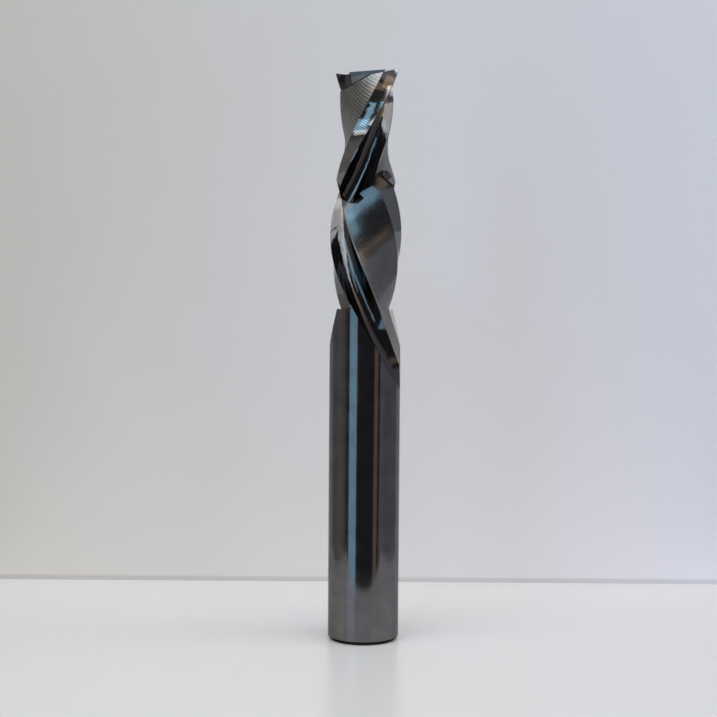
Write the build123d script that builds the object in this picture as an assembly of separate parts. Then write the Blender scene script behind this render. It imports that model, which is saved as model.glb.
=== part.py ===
"""Two-flute compression router bit, ground from one carbide rod.

Frame: millimetres, +Z up along the axis, origin at the centre of the shank's flat end.
The bit stands on its shank end with the cutting tip on top. Angles are in degrees, taken
anticlockwise from +X as seen from the tip, which is also the way the bit turns.
"""

import os
from math import atan2, cos, degrees, radians, sin, sqrt, tan

from build123d import *

# ---- Driving dimensions of the blank --------------------------------------------------
overall_length = 76.2  # 3 in
cutting_length = 31.75  # 1 1/4 in, from the tip down to the shoulder
shank_diameter = 9.525  # 3/8 in
cutting_diameter = 9.525  # 3/8 in
shank_chamfer = 0.5  # 45 degree chamfer round the shank end

# ---- Driving dimensions of the teeth --------------------------------------------------
tooth_count = 2
helix_angle = 30.0  # of the cutting edges, measured from the axis
tip_edge_angle = -27.8  # where the first cutting edge meets the tip
upcut_length = 15.6  # from the tip down to where the rising edges end
root_edge_angle = -110.2  # where the first falling edge meets the shoulder
rake_angle = 10.0
margin_width = 0.12  # strip left at full diameter behind each edge
relief_angle = 27.0  # of the flat land behind the margin
back_distance = 2.86  # from the axis to the tooth's back
back_radius = 14.0  # the back is crowned to this radius
back_angle = 84.0  # from the cutting edge round to the middle of the back

# ---- Driving dimensions of the flutes -------------------------------------------------
core_radius = 2.2  # what the flutes leave round the axis
flute_radius = 1.5  # of the flute's rounded floor
heel_angle = 51.0  # from the cutting edge forward to the heel of the tooth ahead
heel_radius = 3.55
wheel_exit_radius = 29.0  # run-out of the falling flutes into the shank
wheel_exit_start = 1.5  # above the shoulder, where that run-out starts
crossing_exit_radius = 17.0  # run-out of each flute past the crossing
crossing_exit_start = 3.3  # before the crossing, where that run-out starts
crossing_spread = 3.0  # degrees for each mm by which a flute widens past that start
crossing_spread_limit = 38.0  # most by which it widens

# ---- Driving dimensions of the ends ---------------------------------------------------
dish_angle = 5.0  # the end edges fall towards the axis
end_relief_angle = 16.0
gash_wall = 0.25  # from the axis to the wall of the notch that opens a flute at the tip
gash_reach = 0.5  # past the axis, where the notch's floor meets that wall and the end
gash_turn = 50.0  # from the cutting edge to the rise of the notch's floor
gash_slope = 34.0
relief_exit_distance = 3.38  # from the axis to the backs' run-out, at the shoulder
relief_exit_angle = 14.6  # slope of that run-out on the shank
relief_exit_turn = 7.2  # by which it faces past the middle of the back
point_length = 2.2  # of the points in which the teeth run out past the crossing
point_radius = 3.0  # where such a point ends
point_depth = 2.4  # from the axis to the foot of a point

# ---- Working values -------------------------------------------------------------------
edge_radius = cutting_diameter / 2
shank_radius = shank_diameter / 2
shoulder_height = overall_length - cutting_length
crossing_height = overall_length - upcut_length
twist_rate = degrees(tan(radians(helix_angle)) / edge_radius)  # degrees for each mm
tooth_pitch = 360 / tooth_count
outside = 2.0  # how far every cutter reaches past the surface it cuts
station_step = 1.25  # between the sections of a flute's cutter


def polar(radius, angle):
    """A point in the plane at a radius and an angle from +X."""
    return Vector(radius * cos(radians(angle)), radius * sin(radians(angle)))


def rising_edge(height):
    """Angle of the first rising cutting edge at a height."""
    return tip_edge_angle - twist_rate * (overall_length - height)


def falling_edge(height):
    """Angle of the first falling cutting edge at a height."""
    return root_edge_angle - twist_rate * (height - shoulder_height)


def around(shape):
    """One copy of a shape for each tooth."""
    return [Rot(Z=tooth * tooth_pitch) * shape for tooth in range(tooth_count)]


def tooth_section():
    """Section of the teeth before the flutes are cut, with the first edge on +X."""
    back_centre = polar(back_distance - back_radius, -back_angle)
    margin_end = polar(edge_radius, -degrees(margin_width / edge_radius))
    beyond_land = Pos(*margin_end) * Rot(Z=-relief_angle) * Rectangle(
        cutting_diameter, cutting_diameter, align=(Align.MIN, Align.MAX)
    )
    section = Circle(edge_radius)
    for back in around(Pos(*back_centre) * Circle(back_radius)):
        section &= back
    for land in around(beyond_land):
        section -= land
    return section.face()


def flute_section(lean):
    """Section of one flute's cutter, for a cutting edge on +X.

    Beyond the heel a straight shoulder leaves it at a tangent to the heel's circle, and
    its wall meets that shoulder further out where it leans back.
    """
    edge = Vector(edge_radius, 0)
    heel = polar(heel_radius / cos(radians(lean)), heel_angle + lean)
    inward = -polar(1, rake_angle)
    across = Vector(-inward.Y, inward.X) * -1
    floor_distance = core_radius + flute_radius
    # The floor's centre is one flute radius ahead of the rake face and one beyond the core.
    offset = across * flute_radius + edge
    along = -(offset.dot(inward)) - sqrt(
        offset.dot(inward) ** 2 - offset.dot(offset) + floor_distance**2
    )
    floor_centre = offset + inward * along
    rake_end = floor_centre - across * flute_radius
    to_heel = heel - floor_centre
    turn = degrees(atan2(to_heel.Y, to_heel.X))
    half = degrees(atan2(sqrt(to_heel.length**2 - flute_radius**2), flute_radius))
    wall_start = floor_centre + polar(flute_radius, turn + half)
    floor_middle = floor_centre - floor_centre.normalized() * flute_radius
    outer_edge = edge - inward * outside
    shoulder_reach = sqrt((edge_radius + outside) ** 2 - heel_radius**2)
    shoulder_end = polar(heel_radius, heel_angle) + polar(shoulder_reach, heel_angle + 90)
    outer_middle = (outer_edge + shoulder_end) / 2
    outer_middle = outer_middle.normalized() * (edge_radius + outside * 2)
    outline = Wire(
        [
            Edge.make_line(outer_edge, rake_end),
            Edge.make_three_point_arc(rake_end, floor_middle, wall_start),
            Edge.make_line(wall_start, heel),
            Edge.make_line(heel, shoulder_end),
            Edge.make_line(shoulder_end, outer_middle),
            Edge.make_line(outer_middle, outer_edge),
        ]
    )
    return Face(outline), floor_centre.normalized()


def lift(distance, radius):
    """How far a wheel of this radius has left its cut, this far past the start."""
    return max(distance, 0) ** 2 / (2 * radius)


def spread(distance):
    """How far a flute has widened, this far past the start of its run-out."""
    return min(crossing_spread * max(distance, 0), crossing_spread_limit)


def flute_cutter(bottom, top, edge_angle, lift_at, spread_at):
    """A flute's cutter: its section turned with the edge, lifted and spread at the ends."""
    steps = round((top - bottom) / station_step)
    stations = []
    for step in range(steps + 1):
        height = bottom + (top - bottom) * step / steps
        section, lift_direction = flute_section(spread_at(height))
        lifted = lift_direction * lift_at(height)
        place = Pos(0, 0, height) * Rot(Z=edge_angle(height)) * Pos(lifted.X, lifted.Y)
        stations.append(place * section)
    return loft(stations)


def twisted(section, bottom, top, edge_angle):
    """A section of the teeth swept between two heights, turned with the edge angle."""
    turn = edge_angle(top) - edge_angle(bottom)
    return Solid.extrude_linear_with_rotation(
        Pos(0, 0, bottom) * Rot(Z=edge_angle(bottom)) * section,
        center=(0, 0, bottom),
        normal=(0, 0, top - bottom),
        angle=turn,
    )


def points(bottom, top, edge_angle):
    """The points of the teeth past the crossing, before they are tapered."""
    beyond_foot = Pos(point_depth, 0) * Rectangle(
        cutting_diameter, cutting_diameter, align=(Align.MIN, Align.CENTER)
    )
    section = (tooth_section() & beyond_foot).face()
    return around(twisted(section, bottom, top, edge_angle))


def turned(outline_points):
    """A solid of revolution about Z from its (radius, height) outline."""
    outline = Polyline(*[(radius, 0, height) for radius, height in outline_points], close=True)
    return revolve(make_face(outline), Axis.Z)


def shank():
    """The plain cylinder with its chamfered end and the run-out of the tooth backs."""
    solid = turned(
        [
            (0, 0),
            (shank_radius - shank_chamfer, 0),
            (shank_radius, shank_chamfer),
            (shank_radius, shoulder_height),
            (0, shoulder_height),
        ]
    )
    facing = root_edge_angle - back_angle + relief_exit_turn
    beyond_back = (
        Pos(0, 0, shoulder_height)
        * Rot(Z=facing)
        * Pos(relief_exit_distance, 0, 0)
        * Rot(Y=-relief_exit_angle)
        * Box(
            shank_diameter,
            shank_diameter * 2,
            shank_diameter * 2,
            align=(Align.MIN, Align.CENTER, Align.CENTER),
        )
    )
    return solid - around(beyond_back)


def falling_teeth():
    """The teeth next to the shank, whose edges push the chips towards the tip."""
    end = crossing_height + point_length
    rim = edge_radius + outside
    slope = point_length / (edge_radius - point_radius)
    limits = turned(
        [
            (0, shoulder_height - outside),
            (rim, shoulder_height - outside),
            (rim, crossing_height - outside * slope),
            (point_radius, end),
            (0, end),
        ]
    )
    teeth = twisted(tooth_section(), shoulder_height, crossing_height, falling_edge)
    return (teeth + points(crossing_height, end, falling_edge)) & limits


def rising_teeth():
    """The teeth at the tip, whose edges pull the chips towards the shank."""
    end = crossing_height - point_length
    rim = edge_radius + outside
    slope = point_length / (edge_radius - point_radius)
    limits = turned(
        [
            (0, end),
            (point_radius, end),
            (rim, crossing_height + outside * slope),
            (rim, overall_length + outside),
            (0, overall_length + outside),
        ]
    )
    teeth = twisted(tooth_section(), crossing_height, overall_length, rising_edge)
    return (teeth + points(end, crossing_height, rising_edge)) & limits


def exit_length(radius):
    """How long a wheel of this radius takes to leave its cut altogether."""
    return sqrt(2 * radius * (edge_radius + outside / 2 - core_radius))


def falling_flutes():
    """Cutters of the flutes that run out into the shank and past the crossing."""
    low_start = shoulder_height + wheel_exit_start
    high_start = crossing_height - crossing_exit_start
    bottom = low_start - exit_length(wheel_exit_radius)
    top = high_start + exit_length(crossing_exit_radius)

    def lift_at(height):
        """The low run-out and the high one, whichever has begun."""
        low = lift(low_start - height, wheel_exit_radius)
        high = lift(height - high_start, crossing_exit_radius)
        return low + high

    def spread_at(height):
        """How far the flute has widened at the high run-out."""
        return spread(height - high_start)

    return around(flute_cutter(bottom, top, falling_edge, lift_at, spread_at))


def rising_flutes():
    """Cutters of the flutes that open at the tip and run out past the crossing."""
    start = crossing_height + crossing_exit_start
    bottom = start - exit_length(crossing_exit_radius)
    top = overall_length + outside

    def lift_at(height):
        """The run-out past the crossing."""
        return lift(start - height, crossing_exit_radius)

    def spread_at(height):
        """How far the flute has widened past the crossing."""
        return spread(start - height)

    return around(flute_cutter(bottom, top, rising_edge, lift_at, spread_at))


def tip_notches():
    """Cutters that open each flute across the end face and free its end edge."""
    size = cutting_diameter * 2
    end_centre = overall_length - edge_radius * tan(radians(dish_angle))
    above_floor = (
        Pos(gash_reach, -gash_wall, end_centre)
        * Rot(Z=gash_turn)
        * Rot(Y=-gash_slope)
        * Box(size, size, size, align=(Align.CENTER, Align.CENTER, Align.MIN))
    )
    before_wall = Pos(0, -gash_wall, end_centre) * Box(
        size * 2, size, size * 2, align=(Align.CENTER, Align.MAX, Align.CENTER)
    )
    return around(Rot(Z=tip_edge_angle) * (above_floor & before_wall))


def end_faces():
    """Cutters that slope the end face of each tooth away from its end edge."""
    above = Box(
        cutting_diameter * 2,
        cutting_diameter * 2,
        cutting_diameter,
        align=(Align.MAX, Align.MAX, Align.MIN),
    )
    place = Pos(edge_radius, 0, overall_length) * Rot(Y=-dish_angle) * Rot(X=end_relief_angle)
    return around(Rot(Z=tip_edge_angle) * place * above)


def router_bit():
    """The whole bit, one solid."""
    solid = shank() + falling_teeth() + rising_teeth()
    solid -= falling_flutes()
    solid -= rising_flutes()
    solid -= tip_notches()
    solid -= end_faces()
    return solid


os.makedirs("parts", exist_ok=True)
export_step(router_bit(), "parts/router_bit.step")
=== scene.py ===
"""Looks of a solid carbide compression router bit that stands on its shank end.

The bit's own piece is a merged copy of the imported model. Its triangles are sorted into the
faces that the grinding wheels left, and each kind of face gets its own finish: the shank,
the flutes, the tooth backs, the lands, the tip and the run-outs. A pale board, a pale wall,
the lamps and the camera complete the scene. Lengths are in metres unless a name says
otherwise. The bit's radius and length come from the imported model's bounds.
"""

import logging
import math
from dataclasses import dataclass, field
from enum import Enum

import bpy
import numpy as np
from mathutils import Matrix, Vector


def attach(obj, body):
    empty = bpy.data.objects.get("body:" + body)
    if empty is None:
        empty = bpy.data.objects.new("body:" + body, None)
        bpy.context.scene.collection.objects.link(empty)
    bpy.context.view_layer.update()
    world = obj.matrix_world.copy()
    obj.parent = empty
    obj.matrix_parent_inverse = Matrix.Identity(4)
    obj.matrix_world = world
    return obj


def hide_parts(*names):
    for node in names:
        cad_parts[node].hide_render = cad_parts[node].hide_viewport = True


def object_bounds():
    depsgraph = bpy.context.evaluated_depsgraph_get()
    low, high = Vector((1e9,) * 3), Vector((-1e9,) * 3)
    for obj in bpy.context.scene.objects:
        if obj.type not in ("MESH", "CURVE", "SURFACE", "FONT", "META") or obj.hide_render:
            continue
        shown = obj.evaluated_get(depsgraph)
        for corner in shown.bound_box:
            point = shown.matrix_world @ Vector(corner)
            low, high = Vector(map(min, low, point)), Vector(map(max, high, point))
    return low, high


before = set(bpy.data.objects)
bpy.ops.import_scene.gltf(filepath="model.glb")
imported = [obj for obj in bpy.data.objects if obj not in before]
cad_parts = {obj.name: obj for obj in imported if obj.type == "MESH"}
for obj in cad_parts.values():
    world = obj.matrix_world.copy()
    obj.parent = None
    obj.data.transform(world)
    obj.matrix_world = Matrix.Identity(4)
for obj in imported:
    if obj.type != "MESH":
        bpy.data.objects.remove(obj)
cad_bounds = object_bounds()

MM = 0.001
MICRON = 1e-6
IMAGE_PIXELS = 717
GRIND_MAP = "grind"
NODE = "router_bit"
BODY = "root"
NOISE_MEAN = 0.5

Colour = tuple[float, float, float]

log = logging.getLogger("router_bit_scene")


class Zone(Enum):
    """The kinds of ground face, each with the name of its finish."""

    SHANK = "shank_grind"
    SHANK_END = "shank_end_grind_and_shade"
    RISING_FLUTE = "rising_flute_polish_and_shade"
    FALLING_FLUTE = "falling_flute_polish_and_shade"
    RISING_BACK = "rising_back_grind"
    FALLING_BACK = "falling_back_grind"
    RISING_LAND = "rising_land_grind"
    FALLING_LAND = "falling_land_grind"
    HEEL = "heel_grind"
    CROSSING = "crossing_polish_and_reflection"
    TIP = "tip_grind"
    RUN_OUT = "run_out_grind_and_highlight"


class Lay(Enum):
    """The way in which a face's grinding lines are laid out."""

    ROUND = 0
    RISING = 1
    FALLING = -1
    FLAT = 2


# How the grinding lines lie on each kind of face.
LAYS = {
    Zone.SHANK: Lay.ROUND,
    Zone.SHANK_END: Lay.FLAT,
    Zone.RISING_FLUTE: Lay.RISING,
    Zone.FALLING_FLUTE: Lay.FALLING,
    Zone.RISING_BACK: Lay.RISING,
    Zone.FALLING_BACK: Lay.FALLING,
    Zone.RISING_LAND: Lay.RISING,
    Zone.FALLING_LAND: Lay.FALLING,
    Zone.HEEL: Lay.FALLING,
    Zone.CROSSING: Lay.ROUND,
    Zone.TIP: Lay.FLAT,
    Zone.RUN_OUT: Lay.ROUND,
}


@dataclass
class NodeBench:
    """A material's or the world's node tree, with short ways to add and join nodes."""

    tree: bpy.types.NodeTree

    def add(self, kind: str, **settings: object) -> bpy.types.Node:
        """Adds a node.

        Args:
            kind: The node's type name.
            **settings: Properties to set on it.

        Returns:
            The new node.
        """
        node = self.tree.nodes.new(kind)
        for name, value in settings.items():
            setattr(node, name, value)
        return node

    def join(self, source: bpy.types.NodeSocket, target: bpy.types.NodeSocket) -> None:
        """Links an output to an input."""
        self.tree.links.new(source, target)

    def sums(self, operation: str, *values: object) -> bpy.types.NodeSocket:
        """Adds a Math node.

        Args:
            operation: The Math node's operation.
            *values: Its inputs, each a socket or a number.

        Returns:
            The node's output.
        """
        node = self.add("ShaderNodeMath", operation=operation)
        for slot, value in zip(node.inputs, values):
            if isinstance(value, bpy.types.NodeSocket):
                self.join(value, slot)
            else:
                slot.default_value = value
        return node.outputs[0]

    def ranged(self, value: bpy.types.NodeSocket, low: float, high: float, start: float,
               end: float, smooth: bool = False) -> bpy.types.NodeSocket:
        """Adds a Map Range node.

        Args:
            value: The socket to map.
            low: The input that gives start.
            high: The input that gives end.
            start: The output at low.
            end: The output at high.
            smooth: Whether the change eases in and out.

        Returns:
            The mapped output.
        """
        node = self.add("ShaderNodeMapRange")
        node.interpolation_type = "SMOOTHSTEP" if smooth else "LINEAR"
        self.join(value, node.inputs["Value"])
        for name, number in (("From Min", low), ("From Max", high), ("To Min", start),
                             ("To Max", end)):
            node.inputs[name].default_value = number
        return node.outputs["Result"]

    def ramp(self, value: bpy.types.NodeSocket,
             stops: list[tuple[float, Colour]]) -> bpy.types.NodeSocket:
        """Adds a Color Ramp node.

        Args:
            value: The socket that drives it.
            stops: Positions with their colours, in order.

        Returns:
            The colour output.
        """
        node = self.add("ShaderNodeValToRGB")
        marks = node.color_ramp.elements
        while len(marks) < len(stops):
            marks.new(1)
        for mark, (position, colour) in zip(marks, stops):
            mark.position = position
            mark.color = (*colour, 1)
        self.join(value, node.inputs["Fac"])
        return node.outputs["Color"]

    def noise(self, place: bpy.types.NodeSocket, grain: tuple[float, float, float],
              detail: float) -> bpy.types.NodeSocket:
        """Adds a Noise texture that is stretched along its axes.

        Args:
            place: The coordinates.
            grain: The size of one patch of the noise along each axis.
            detail: The number of finer layers.

        Returns:
            The noise value, from 0 to 1.
        """
        mapping = self.add("ShaderNodeMapping")
        mapping.inputs["Scale"].default_value = [1 / size for size in grain]
        self.join(place, mapping.inputs["Vector"])
        texture = self.add("ShaderNodeTexNoise")
        texture.inputs["Scale"].default_value = 1
        texture.inputs["Detail"].default_value = detail
        self.join(mapping.outputs["Vector"], texture.inputs["Vector"])
        return texture.outputs["Fac"]

    def swing(self, noise: bpy.types.NodeSocket) -> bpy.types.NodeSocket:
        """Measures a noise value from its mean."""
        return self.sums("SUBTRACT", noise, NOISE_MEAN)


@dataclass(frozen=True)
class GroundFinish:
    """Carbide as a grinding wheel leaves it: fine lines across the map's first axis.

    Attributes:
        light: The metal's colour on the crests of the lines.
        dark: The metal's colour between them.
        polish: The lowest roughness.
        haze: The highest roughness.
        line_pitch: The mean distance between fine lines.
        line_length: How far a fine line runs.
        line_depth: The fine lines' depth.
        step_pitch: The distance between the wheel's regular feed marks.
        step_depth: The feed marks' depth, 0 for none.
        step_tone: How strongly the feed marks change the metal's tone.
        step_drift: How far the feed marks wander, as an angle in radians of their wave.
        drift_pitch: How soon they wander along the map's first axis.
        drift_length: How soon they wander along its second axis.
        edge: The tint of the metal where it is seen at a low angle.
        ripple: The depth of the slow waves that a hand feels rather than sees.
        mottle_size: The size of those waves and of the patches in which the polish varies.
        mottle: How strongly the patches change the polish.
        dark_at: The tone at which the metal has its dark colour and lowest roughness.
        light_at: The tone at which it has its light colour and highest roughness.
    """

    light: Colour
    dark: Colour
    polish: float = 0.12
    haze: float = 0.22
    line_pitch: float = 0.06 * MM
    line_length: float = 2.5 * MM
    line_depth: float = 0.4 * MICRON
    step_pitch: float = 0.34 * MM
    step_depth: float = 0.0
    step_tone: float = 0.24
    step_drift: float = 1.3
    drift_pitch: float = 1 * MM
    drift_length: float = 4 * MM
    edge: Colour = (0.6, 0.6, 0.62)
    ripple: float = 0.0
    mottle_size: float = 1.6 * MM
    mottle: float = 0.3
    dark_at: float = 0.25
    light_at: float = 0.75

    def feed_marks(self, bench: NodeBench,
                   along: bpy.types.NodeSocket) -> bpy.types.NodeSocket:
        """Adds the wheel's regular feed marks, which wander a little.

        Args:
            bench: The material's nodes.
            along: The map coordinates.

        Returns:
            The marks' wave, from -1 to 1.
        """
        axes = bench.add("ShaderNodeSeparateXYZ")
        bench.join(along, axes.inputs["Vector"])
        drift = bench.noise(along, (self.drift_pitch, self.drift_length, 1), detail=1)
        phase = bench.sums("MULTIPLY", axes.outputs["X"], math.tau / self.step_pitch)
        phase = bench.sums("MULTIPLY_ADD", drift, self.step_drift, phase)
        return bench.sums("SINE", phase)

    def material(self, name: str) -> bpy.types.Material:
        """Builds the finish as a material.

        Args:
            name: The material's name.

        Returns:
            The new material.
        """
        material = bpy.data.materials.new(name)
        material.use_nodes = True
        bench = NodeBench(material.node_tree)
        shader = material.node_tree.nodes["Principled BSDF"]
        shader.inputs["Metallic"].default_value = 1
        shader.inputs["Specular Tint"].default_value = (*self.edge, 1)
        along = bench.add("ShaderNodeUVMap", uv_map=GRIND_MAP).outputs["UV"]
        place = bench.add("ShaderNodeTexCoord").outputs["Object"]
        lines = bench.noise(along, (self.line_pitch, self.line_length, 1), detail=3)
        patches = bench.noise(place, (self.mottle_size,) * 3, detail=3)
        height = bench.sums("MULTIPLY", lines, self.line_depth)
        height = bench.sums("MULTIPLY_ADD", patches, self.ripple, height)
        tone = lines
        if self.step_depth:
            wave = self.feed_marks(bench, along)
            height = bench.sums("MULTIPLY_ADD", wave, self.step_depth / 2, height)
            tone = bench.sums("MULTIPLY_ADD", wave, self.step_tone, lines)
        tone = bench.sums("MULTIPLY_ADD", bench.swing(patches), self.mottle, tone)
        colour = bench.ramp(tone, [(self.dark_at, self.dark), (self.light_at, self.light)])
        dullness = bench.ranged(tone, self.dark_at, self.light_at, self.polish, self.haze)
        bench.join(colour, shader.inputs["Base Color"])
        bench.join(dullness, shader.inputs["Roughness"])
        bump = bench.add("ShaderNodeBump")
        bump.inputs["Strength"].default_value = 1
        bump.inputs["Distance"].default_value = 1
        bench.join(height, bump.inputs["Height"])
        bench.join(bump.outputs["Normal"], shader.inputs["Normal"])
        return material


# Painted shade: the flutes' carbide is a little darker than the shank's and the teeth's, for
# the shade in the deep flutes.
FLUTE_POLISH_AND_SHADE = GroundFinish((0.155, 0.15, 0.15), (0.11, 0.11, 0.115), 0.07, 0.13,
                            line_pitch=1.2 * MM, line_length=0.07 * MM,
                            line_depth=0.35 * MICRON, ripple=12 * MICRON)

# Each finish starts with its light and dark colours and its lowest and highest roughness.
FINISHES = {
    Zone.SHANK: GroundFinish((0.195, 0.19, 0.19), (0.14, 0.135, 0.14), 0.07, 0.14,
                             line_pitch=0.05 * MM, line_length=6 * MM, line_depth=0.1 * MICRON,
                             ripple=2 * MICRON, mottle=1.0, mottle_size=2.2 * MM),
    # Painted shade and painted reflection: the shank's end and its chamfer are nearly black,
    # with a dim edge tint, for the contact shadow and the dark room that they mirror.
    Zone.SHANK_END: GroundFinish((0.09, 0.088, 0.085), (0.045, 0.045, 0.045), 0.25, 0.4,
                                 edge=(0.3, 0.3, 0.3)),
    Zone.RISING_FLUTE: FLUTE_POLISH_AND_SHADE,
    Zone.FALLING_FLUTE: FLUTE_POLISH_AND_SHADE,
    Zone.RISING_BACK: GroundFinish((0.34, 0.33, 0.315), (0.17, 0.17, 0.17), 0.27, 0.38,
                                   line_depth=0.3 * MICRON, step_pitch=0.47 * MM,
                                   step_depth=1.15 * MICRON, ripple=6 * MICRON),
    Zone.FALLING_BACK: GroundFinish((0.27, 0.27, 0.27), (0.16, 0.16, 0.165), 0.18, 0.28,
                                    line_depth=0.5 * MICRON, step_pitch=0.25 * MM,
                                    step_depth=0.6 * MICRON, step_tone=0.12,
                                    ripple=32 * MICRON),
    Zone.RISING_LAND: GroundFinish((0.36, 0.35, 0.34), (0.2, 0.2, 0.205), 0.06, 0.11,
                                   line_depth=0.25 * MICRON, step_pitch=0.3 * MM,
                                   step_depth=0.6 * MICRON, ripple=3 * MICRON),
    Zone.FALLING_LAND: GroundFinish((0.28, 0.28, 0.28), (0.2, 0.2, 0.205), 0.09, 0.16,
                                    line_depth=0.3 * MICRON, step_pitch=0.3 * MM,
                                    step_depth=0.4 * MICRON, ripple=4 * MICRON),
    Zone.HEEL: GroundFinish((0.45, 0.44, 0.41), (0.27, 0.265, 0.25), 0.38, 0.5,
                            step_pitch=0.28 * MM, step_depth=1 * MICRON, ripple=6 * MICRON),
    # Painted reflection: the crossing's facets are nearly black and brown, with a brown edge
    # tint, for the dark brown reflection they show.
    Zone.CROSSING: GroundFinish((0.045, 0.038, 0.03), (0.03, 0.025, 0.02), 0.15, 0.25,
                                edge=(0.17, 0.14, 0.12), ripple=6 * MICRON, mottle=0.6,
                                mottle_size=0.7 * MM),
    Zone.TIP: GroundFinish((0.42, 0.415, 0.41), (0.28, 0.28, 0.28), 0.14, 0.24,
                           line_pitch=0.08 * MM),
    # Painted highlight: the run-outs are nearly white, much paler than the rest of the carbide,
    # for the bright facet below the shoulder.
    Zone.RUN_OUT: GroundFinish((0.92, 0.9, 0.83), (0.6, 0.59, 0.54), 0.5, 0.62,
                               line_pitch=0.08 * MM, ripple=5 * MICRON, mottle=0.6,
                               mottle_size=0.6 * MM),
}


@dataclass
class GroundFaces:
    """Sorts a mesh's triangles into ground faces, which meet each other at crisp edges.

    Attributes:
        corners: Each triangle's three corners.
        normals: The normals at those corners.
        crease_degrees: The turn of the normals past which an edge is crisp.
        same_point: Corners that are nearer than this are one point.
    """

    corners: np.ndarray
    normals: np.ndarray
    crease_degrees: float = 6
    same_point: float = 1 * MICRON

    @staticmethod
    def leader(owner: list[int], number: int) -> int:
        """Finds the triangle that stands for another one's group.

        Args:
            owner: For each triangle, itself or another one of its group.
            number: The triangle to start from.

        Returns:
            The number of the group's own triangle.
        """
        while owner[number] != number:
            owner[number] = owner[owner[number]]
            number = owner[number]
        return number

    def groups(self) -> list[np.ndarray]:
        """Finds the smooth groups of triangles.

        Returns:
            The triangle numbers of each group.
        """
        points = np.round(self.corners.reshape(-1, 3) / self.same_point).astype(np.int64)
        keys = np.unique(points, axis=0, return_inverse=True)[1].reshape(-1, 3)
        limit = math.cos(math.radians(self.crease_degrees))
        owner = list(range(len(keys)))
        seen: dict[tuple[int, int], tuple[int, np.ndarray, np.ndarray]] = {}
        for number, triangle in enumerate(keys):
            for first in range(3):
                second = (first + 1) % 3
                ends = [(triangle[first], self.normals[number, first]),
                        (triangle[second], self.normals[number, second])]
                ends.sort(key=lambda end: end[0])
                (a, normal_a), (b, normal_b) = ends
                other = seen.get((a, b))
                # Neighbours are one face where their normals agree at both ends of the edge.
                if other is None:
                    seen[a, b] = (number, normal_a, normal_b)
                elif normal_a @ other[1] > limit and normal_b @ other[2] > limit:
                    owner[self.leader(owner, number)] = self.leader(owner, other[0])
        groups: dict[int, list[int]] = {}
        for number in range(len(keys)):
            groups.setdefault(self.leader(owner, number), []).append(number)
        return [np.array(group) for group in groups.values()]


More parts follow.
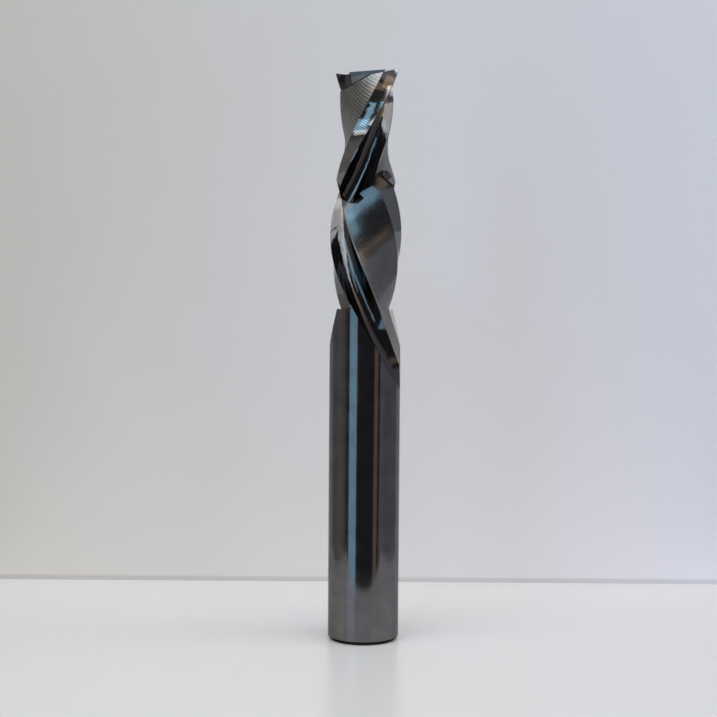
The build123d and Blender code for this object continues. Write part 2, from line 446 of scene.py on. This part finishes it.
@dataclass
class CarbideBody:
    """The bit's one solid: shank, spiral teeth and flutes, crossing and tip.

    The teeth rise to the right below the tip and fall to the right above the shank. Angles
    are in degrees from +X.

    Attributes:
        radius: The radius of the shank and of the cutting edges.
        length: The overall length.
        cutting_length: From the tip down to the shoulder.
        rising_length: From the tip down to the crossing.
        helix_angle: The slope of the cutting edges, measured from the axis.
        tip_edge_angle: Where the first rising edge meets the tip.
        root_edge_angle: Where the first falling edge meets the shoulder.
        shank_foot: The faces of the shank's end stay below this height, and the shank's own
            face starts below it.
        land_wall: The lands stay farther than this from the axis.
        heel_wall: The heels of the teeth stay farther than this from the axis.
        flute_reach: The flutes come nearer than this to the axis.
        tip_depth: The tip's faces lie within this distance of the end.
        long_face: A flute is taller than this.
        short_face: A facet of the crossing is lower than this.
        small: The play in these comparisons.
        flat_lay: The cosine and the sine of the grinding lines' direction on flat faces.
        merge_distance: Points that are nearer than this are merged.
        key_step: The step to which corners are rounded to find them again.
    """

    radius: float = cad_bounds[1][0]
    length: float = cad_bounds[1][2]
    cutting_length: float = 31.75 * MM
    rising_length: float = 15.6 * MM
    helix_angle: float = 30
    tip_edge_angle: float = -27.8
    root_edge_angle: float = -110.2
    shank_foot: float = 11 * MM
    land_wall: float = 4.25 * MM
    heel_wall: float = 3.4 * MM
    flute_reach: float = 2.6 * MM
    tip_depth: float = 3.2 * MM
    long_face: float = 10 * MM
    short_face: float = 3 * MM
    small: float = 0.03 * MM
    flat_lay: tuple[float, float] = (0.8, 0.6)
    merge_distance: float = 0.1 * MICRON
    key_step: float = 0.5 * MICRON

    @property
    def shoulder_height(self) -> float:
        """The height of the shoulder at the foot of the teeth."""
        return self.length - self.cutting_length

    @property
    def crossing_height(self) -> float:
        """The height at which the rising and the falling teeth meet."""
        return self.length - self.rising_length

    def zone(self, corners: np.ndarray) -> Zone:
        """Names the kind of one ground face from where it lies.

        Args:
            corners: The corners of its triangles.

        Returns:
            The kind of the face.
        """
        out = np.hypot(corners[..., 0], corners[..., 1])
        low, high = corners[..., 2].min(), corners[..., 2].max()
        near = out.min()
        rising = corners[..., 2].mean() > self.crossing_height
        if high < self.shank_foot:
            return Zone.SHANK_END
        if near > self.radius - self.small and low < self.shank_foot:
            return Zone.SHANK
        if near > self.radius - self.small:
            return Zone.RISING_LAND if rising else Zone.FALLING_LAND
        if low > self.length - self.tip_depth or high - low < self.small:
            return Zone.TIP
        if high - low < self.short_face and low > self.shoulder_height + self.small:
            return Zone.CROSSING
        if near < self.flute_reach and high - low > self.long_face:
            return Zone.RISING_FLUTE if rising else Zone.FALLING_FLUTE
        if high < self.shoulder_height + self.small:
            return Zone.RUN_OUT
        if near > self.land_wall:
            return Zone.RISING_LAND if rising else Zone.FALLING_LAND
        if near > self.heel_wall:
            return Zone.HEEL
        return Zone.RISING_BACK if rising else Zone.FALLING_BACK

    def grind_map(self, points: np.ndarray, lay: Lay) -> np.ndarray:
        """Gives the map coordinates of points, so that lines lie across the first axis.

        Args:
            points: Points on the bit.
            lay: How the grinding lines are laid out there.

        Returns:
            One pair of coordinates for each point, in metres.
        """
        x, y, z = points.T
        if lay is Lay.FLAT:
            cosine, sine = self.flat_lay
            return np.stack([x * cosine - y * sine, x * sine + y * cosine + z], axis=1)
        turn = np.arctan2(x, -y)
        if lay is Lay.ROUND:
            return np.stack([z, turn * self.radius], axis=1)
        hand = lay.value
        rising = lay is Lay.RISING
        slope = math.radians(self.helix_angle)
        twist = math.tan(slope) / self.radius
        start = self.length if rising else self.shoulder_height
        # The turn is counted from -Y, a quarter turn before +X.
        lead = math.radians(90 + (self.tip_edge_angle if rising else self.root_edge_angle))
        edge = lead + hand * twist * (z - start)
        behind = np.angle(np.exp(1j * (turn - edge)))
        round_way = (behind + edge) * self.radius
        along = z * math.cos(slope) + hand * round_way * math.sin(slope)
        across = round_way * math.cos(slope) - hand * z * math.sin(slope)
        return np.stack([along, across], axis=1)

    def build(self) -> bpy.types.Object:
        """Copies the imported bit, merges its points and keeps its smooth normals.

        Returns:
            The new piece.
        """
        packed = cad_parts[NODE]
        bpy.ops.object.select_all(action="DESELECT")
        piece = bpy.data.objects.new("carbide_body", packed.data.copy())
        bpy.context.scene.collection.objects.link(piece)
        corners, normals = self.measure(piece.data)
        smooth = {
            self.key(centre, corner): normal
            for centre, triangle, slopes in zip(corners.mean(axis=1), corners, normals)
            for corner, normal in zip(triangle, slopes)
        }
        bpy.context.view_layer.objects.active = piece
        piece.select_set(True)
        bpy.ops.object.mode_set(mode="EDIT")
        bpy.ops.mesh.select_all(action="SELECT")
        bpy.ops.mesh.remove_doubles(threshold=self.merge_distance)
        bpy.ops.object.mode_set(mode="OBJECT")
        corners, _ = self.measure(piece.data)
        # A corner that isn't found again gets no normal of its own, and Blender works it out.
        kept = [
            smooth.get(self.key(centre, corner), (0, 0, 0))
            for centre, triangle in zip(corners.mean(axis=1), corners)
            for corner in triangle
        ]
        piece.data.normals_split_custom_set(kept)
        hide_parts(NODE)
        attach(piece, BODY)
        return piece

    def key(self, centre: np.ndarray, corner: np.ndarray) -> tuple[int, ...]:
        """Names one corner of one triangle by its place and the triangle's middle."""
        return tuple(int(round(value / self.key_step)) for value in (*centre, *corner))

    @staticmethod
    def measure(mesh: bpy.types.Mesh) -> tuple[np.ndarray, np.ndarray]:
        """Reads a triangle mesh's corners and their normals.

        Args:
            mesh: The mesh.

        Returns:
            The places and the normals, each as triangles of three corners.
        """
        places = np.zeros(len(mesh.vertices) * 3, np.float32)
        mesh.vertices.foreach_get("co", places)
        index = np.zeros(len(mesh.loops), np.int32)
        mesh.loops.foreach_get("vertex_index", index)
        normals = np.zeros(len(mesh.loops) * 3, np.float32)
        mesh.corner_normals.foreach_get("vector", normals)
        corners = places.reshape(-1, 3)[index].reshape(-1, 3, 3)
        return corners, normals.reshape(-1, 3, 3)

    def dress(self, piece: bpy.types.Object) -> dict[Zone, int]:
        """Gives each ground face its finish and its map.

        Args:
            piece: The merged bit.

        Returns:
            The number of triangles in each kind of face.
        """
        mesh = piece.data
        corners, normals = self.measure(mesh)
        mesh.materials.clear()
        for zone in Zone:
            mesh.materials.append(FINISHES[zone].material(zone.value))
        slots = {zone: number for number, zone in enumerate(Zone)}
        finish = np.zeros(len(mesh.polygons), np.int32)
        places = np.zeros((len(mesh.polygons), 3, 2), np.float32)
        for group in GroundFaces(corners, normals).groups():
            zone = self.zone(corners[group])
            finish[group] = slots[zone]
            points = corners[group].reshape(-1, 3)
            places[group] = self.grind_map(points, LAYS[zone]).reshape(-1, 3, 2)
        mesh.polygons.foreach_set("material_index", finish)
        layer = mesh.uv_layers.new(name=GRIND_MAP)
        layer.uv.foreach_set("vector", places.ravel())
        return {zone: int((finish == number).sum()) for zone, number in slots.items()}


@dataclass(frozen=True)
class PaleFinish:
    """A pale painted face, a little warmer at its left and cooler at its right.

    Attributes:
        left: The colour at the left.
        middle: The colour behind the bit.
        right: The colour at the right.
        reach: How far from the middle the outer colours lie.
        roughness: The face's roughness.
        grain_size: The size of the paint's soft patches.
        grain: How far a patch moves the colour to the left's or the right's.
        corner_shade_height: How high the painted shade at the foot reaches, 0 for none.
        corner_shade_level: The paint's brightness in that painted shade, as a share.
        see_through_back: Whether the face is clear when seen from behind.
    """

    left: Colour
    middle: Colour
    right: Colour
    reach: float = 58 * MM
    roughness: float = 0.35
    grain_size: float = 12 * MM
    grain: float = 0.12
    corner_shade_height: float = 0
    corner_shade_level: float = 0.8
    see_through_back: bool = False

    def material(self, name: str) -> bpy.types.Material:
        """Builds the finish.

        Args:
            name: The material's name.

        Returns:
            The new material.
        """
        material = bpy.data.materials.new(name)
        material.use_nodes = True
        bench = NodeBench(material.node_tree)
        shader = material.node_tree.nodes["Principled BSDF"]
        shader.inputs["Roughness"].default_value = self.roughness
        place = bench.add("ShaderNodeTexCoord").outputs["Object"]
        axes = bench.add("ShaderNodeSeparateXYZ")
        bench.join(place, axes.inputs["Vector"])
        patches = bench.noise(place, (self.grain_size,) * 3, detail=4)
        side = bench.ranged(axes.outputs["X"], -self.reach, self.reach, 0, 1)
        side = bench.sums("MULTIPLY_ADD", bench.swing(patches), self.grain, side)
        paint = bench.ramp(side, [(0, self.left), (0.5, self.middle), (1, self.right)])
        # Painted shade: the paint darkens towards the foot, where the wall meets the board.
        if self.corner_shade_height:
            shadow = bench.ranged(axes.outputs["Z"], self.corner_shade_height, 2 * self.corner_shade_height,
                                  self.corner_shade_level, 1, smooth=True)
            shaded = bench.add("ShaderNodeMix", data_type="RGBA", blend_type="MULTIPLY")
            shaded.inputs["Factor"].default_value = 1
            bench.join(paint, shaded.inputs["A"])
            bench.join(shadow, shaded.inputs["B"])
            paint = shaded.outputs["Result"]
        bench.join(paint, shader.inputs["Base Color"])
        if self.see_through_back:
            behind = bench.add("ShaderNodeNewGeometry").outputs["Backfacing"]
            clear = bench.add("ShaderNodeBsdfTransparent")
            both = bench.add("ShaderNodeMixShader")
            for source, slot in zip((behind, shader.outputs[0], clear.outputs[0]), both.inputs):
                bench.join(source, slot)
            output = material.node_tree.nodes["Material Output"]
            bench.join(both.outputs["Shader"], output.inputs["Surface"])
        return material


@dataclass
class PaleCorner:
    """The pale board under the bit and the pale wall behind it.

    Attributes:
        wall_distance: From the bit's axis to the board's back edge.
        width: The width of both.
        front: From the bit's axis to the board's front edge.
        thickness: The board's thickness.
        rounding: The radius of the board's edges, and the wall's place before its back edge.
        rounding_steps: The facets in that rounding.
        height: The wall's height.
        board: The board's finish.
        wall: The wall's finish.
    """

    wall_distance: float = 40 * MM
    width: float = 128 * MM
    front: float = 42 * MM
    thickness: float = 5 * MM
    rounding: float = 1.5 * MM
    rounding_steps: int = 4
    height: float = 100 * MM
    board: PaleFinish = PaleFinish((0.725, 0.715, 0.715), (0.73, 0.72, 0.71), (0.7, 0.69, 0.68),
                                   roughness=0.28)
    # The wall's paint darkens in a thin band at its foot, a painted shade where it meets the
    # board.
    wall: PaleFinish = PaleFinish((0.75, 0.68, 0.61), (0.84, 0.79, 0.78), (0.89, 0.86, 0.93),
                                  roughness=0.6, corner_shade_height=0.5 * MM, see_through_back=True)

    def build(self) -> list[bpy.types.Object]:
        """Adds both as parts of the stage.

        Returns:
            The board and the wall.
        """
        depth = self.front + self.wall_distance
        middle = (0, self.wall_distance - depth / 2, -self.thickness / 2)
        bpy.ops.object.select_all(action="DESELECT")
        bpy.ops.mesh.primitive_cube_add(size=1, location=middle,
                                        scale=(self.width, depth, self.thickness))
        board = self.placed("pale_board", self.board.material("board_paint"))
        edge = board.modifiers.new("rounded_edge", "BEVEL")
        edge.width, edge.segments = self.rounding, self.rounding_steps
        bpy.ops.object.modifier_apply(modifier=edge.name)
        bpy.ops.object.select_all(action="DESELECT")
        bpy.ops.mesh.primitive_plane_add(
            size=1, location=(0, self.wall_distance - self.rounding, self.height / 2),
            rotation=(math.radians(90), 0, 0))
        bpy.context.object.scale = (self.width, self.height, 1)
        wall = self.placed("pale_wall", self.wall.material("wall_paint"))
        return [board, wall]

    @staticmethod
    def placed(name: str, material: bpy.types.Material) -> bpy.types.Object:
        """Names and dresses the active object, and applies its place to its mesh.

        Args:
            name: The object's name.
            material: Its material.

        Returns:
            The object.
        """
        piece = bpy.context.object
        piece.name = name
        bpy.ops.object.transform_apply(location=True, rotation=True, scale=True)
        piece.data.materials.append(material)
        return piece


@dataclass(frozen=True)
class SoftLamp:
    """A flat soft lamp that faces the bit.

    Attributes:
        name: The lamp's name.
        azimuth: Degrees round from the camera's side of the bit, positive to the right.
        elevation: Degrees above the point that it is aimed at.
        distance: The distance from that point.
        width: The lamp's width.
        height: The lamp's height.
        glow: The brightness of its face.
        aim_height: The height of the point that it is aimed at, on the bit's axis.
    """

    name: str
    azimuth: float
    elevation: float
    distance: float
    width: float
    height: float
    glow: Colour
    aim_height: float = 40 * MM

    def build(self) -> bpy.types.Object:
        """Adds the lamp, which the camera doesn't see.

        Returns:
            The lamp.
        """
        data = bpy.data.lights.new(self.name, "AREA")
        data.shape = "RECTANGLE"
        data.size, data.size_y = self.width, self.height
        strength = max(self.glow)
        data.color = [part / strength for part in self.glow]
        # A face of brightness 1 gives off pi watts for each square metre.
        data.energy = strength * math.pi * self.width * self.height
        lamp = bpy.data.objects.new(self.name, data)
        bpy.context.scene.collection.objects.link(lamp)
        azimuth, elevation = math.radians(self.azimuth), math.radians(self.elevation)
        away = Vector((math.sin(azimuth) * math.cos(elevation),
                       -math.cos(azimuth) * math.cos(elevation), math.sin(elevation)))
        lamp.location = Vector((0, 0, self.aim_height)) + away * self.distance
        lamp.rotation_euler = (-away).to_track_quat("-Z", "Y").to_euler()
        lamp.visible_camera = False
        return lamp


LAMPS = [
    SoftLamp("overhead", 0, 62, 0.7, 1.0, 0.7, (2.05, 2.02, 2.02)),
    SoftLamp("left_key", -64, 48, 0.8, 0.4, 0.3, (1.2, 1.1, 0.92)),
    SoftLamp("window_glare", -52, 23, 0.8, 0.11, 0.28, (1.35, 1.32, 1.25)),
    SoftLamp("right_fill", 85, 42, 0.8, 0.4, 0.4, (2.4, 2.5, 2.7)),
    SoftLamp("blue_strip", -39, 0, 0.8, 0.34, 0.9, (0.5, 0.9, 1.2)),
    SoftLamp("upper_pane", -20, 40, 0.8, 0.7, 0.16, (0.5, 0.95, 1.25)),
    SoftLamp("lower_pane", -18, 22, 0.8, 0.6, 0.15, (0.5, 0.95, 1.25)),
    SoftLamp("warm_strip", 34, 0, 0.8, 0.17, 0.8, (0.3, 0.22, 0.15)),
    SoftLamp("amber_panel", 45, 30, 0.8, 0.3, 0.25, (0.6, 0.38, 0.2)),
]


@dataclass
class Room:
    """The dim room round the stage: dark behind the camera and grey at both sides.

    Attributes:
        shades: The room's colour in each direction, in degrees round from the camera's side
            of the bit, positive to the right.
    """

    shades: list[tuple[float, Colour]] = field(default_factory=lambda: [
        (-180, (0.3, 0.3, 0.3)),
        (-130, (0.33, 0.32, 0.3)),
        (-104, (0.25, 0.24, 0.23)),
        (-88, (0.3, 0.29, 0.28)),
        (-70, (0.24, 0.23, 0.22)),
        (-58, (0.07, 0.08, 0.1)),
        (-20, (0.05, 0.05, 0.055)),
        (30, (0.05, 0.05, 0.055)),
        (45, (0.05, 0.05, 0.05)),
        (50, (0.3, 0.31, 0.35)),
        (72, (0.25, 0.26, 0.28)),
        (110, (0.27, 0.28, 0.31)),
        (180, (0.3, 0.3, 0.3)),
    ])

    def build(self) -> None:
        """Paints the world by compass direction."""
        world = bpy.data.worlds.new("room")
        bpy.context.scene.world = world
        world.use_nodes = True
        bench = NodeBench(world.node_tree)
        axes = bench.add("ShaderNodeSeparateXYZ")
        bench.join(bench.add("ShaderNodeTexCoord").outputs["Generated"], axes.inputs["Vector"])
        towards_camera = bench.sums("MULTIPLY", axes.outputs["Y"], -1)
        compass = bench.sums("ARCTAN2", axes.outputs["X"], towards_camera)
        turn = bench.ranged(compass, -math.pi, math.pi, 0, 1)
        stops = [(angle / 360 + 0.5, colour) for angle, colour in self.shades]
        shader = world.node_tree.nodes["Background"]
        bench.join(bench.ramp(turn, stops), shader.inputs["Color"])
        shader.inputs["Strength"].default_value = 1


@dataclass
class ViewCamera:
    """The camera in front of the bit, a little above its middle, looking slightly down.

    Attributes:
        distance: From the bit's axis to the lens.
        eye_height: The lens's height above the board.
        aside: The lens's place to the right of the axis.
        focal_pixels: The focal length, in pixels of the picture.
        pitch_degrees: How far it looks down.
        roll_degrees: How far it is turned about its own axis.
        sensor: The sensor's width, in millimetres.
    """

    distance: float = 188 * MM
    eye_height: float = 44.9 * MM
    aside: float = -0.86 * MM
    focal_pixels: float = 1400
    pitch_degrees: float = 2.16
    roll_degrees: float = 0.41
    sensor: float = 36

    def build(self) -> bpy.types.Object:
        """Adds the camera and makes it the scene's own.

        Returns:
            The camera object.
        """
        data = bpy.data.cameras.new("view_camera")
        data.sensor_width = self.sensor
        data.lens = self.focal_pixels / IMAGE_PIXELS * self.sensor
        data.clip_start = MM
        camera = bpy.data.objects.new("view_camera", data)
        bpy.context.scene.collection.objects.link(camera)
        upright = Matrix.Rotation(math.radians(90 - self.pitch_degrees), 4, "X")
        roll = Matrix.Rotation(math.radians(self.roll_degrees), 4, "Z")
        place = Matrix.Translation((self.aside, -self.distance, self.eye_height))
        camera.matrix_world = place @ upright @ roll
        bpy.context.scene.camera = camera
        return camera


def main() -> None:
    """Builds the bit's piece, the stage, the lamps and the camera, and reports each."""
    logging.basicConfig(level=logging.INFO, format="%(name)s: %(message)s")
    body = CarbideBody()
    bit = body.build()
    log.info("%s: %d points, %d triangles", bit.name, len(bit.data.vertices),
             len(bit.data.polygons))
    for zone, count in body.dress(bit).items():
        log.info("%s: %d triangles", zone.value, count)
    for piece in PaleCorner().build():
        log.info("%s: on the stage", piece.name)
    for soft_lamp in LAMPS:
        lamp = soft_lamp.build()
        log.info("lamp %s: %.2f W", lamp.name, lamp.data.energy)
    Room().build()
    camera = ViewCamera().build()
    log.info("%s: %.1f mm lens", camera.name, camera.data.lens)
    bpy.context.scene.view_settings.view_transform = "Standard"
    bpy.context.view_layer.update()


if __name__ == "__main__":
    main()
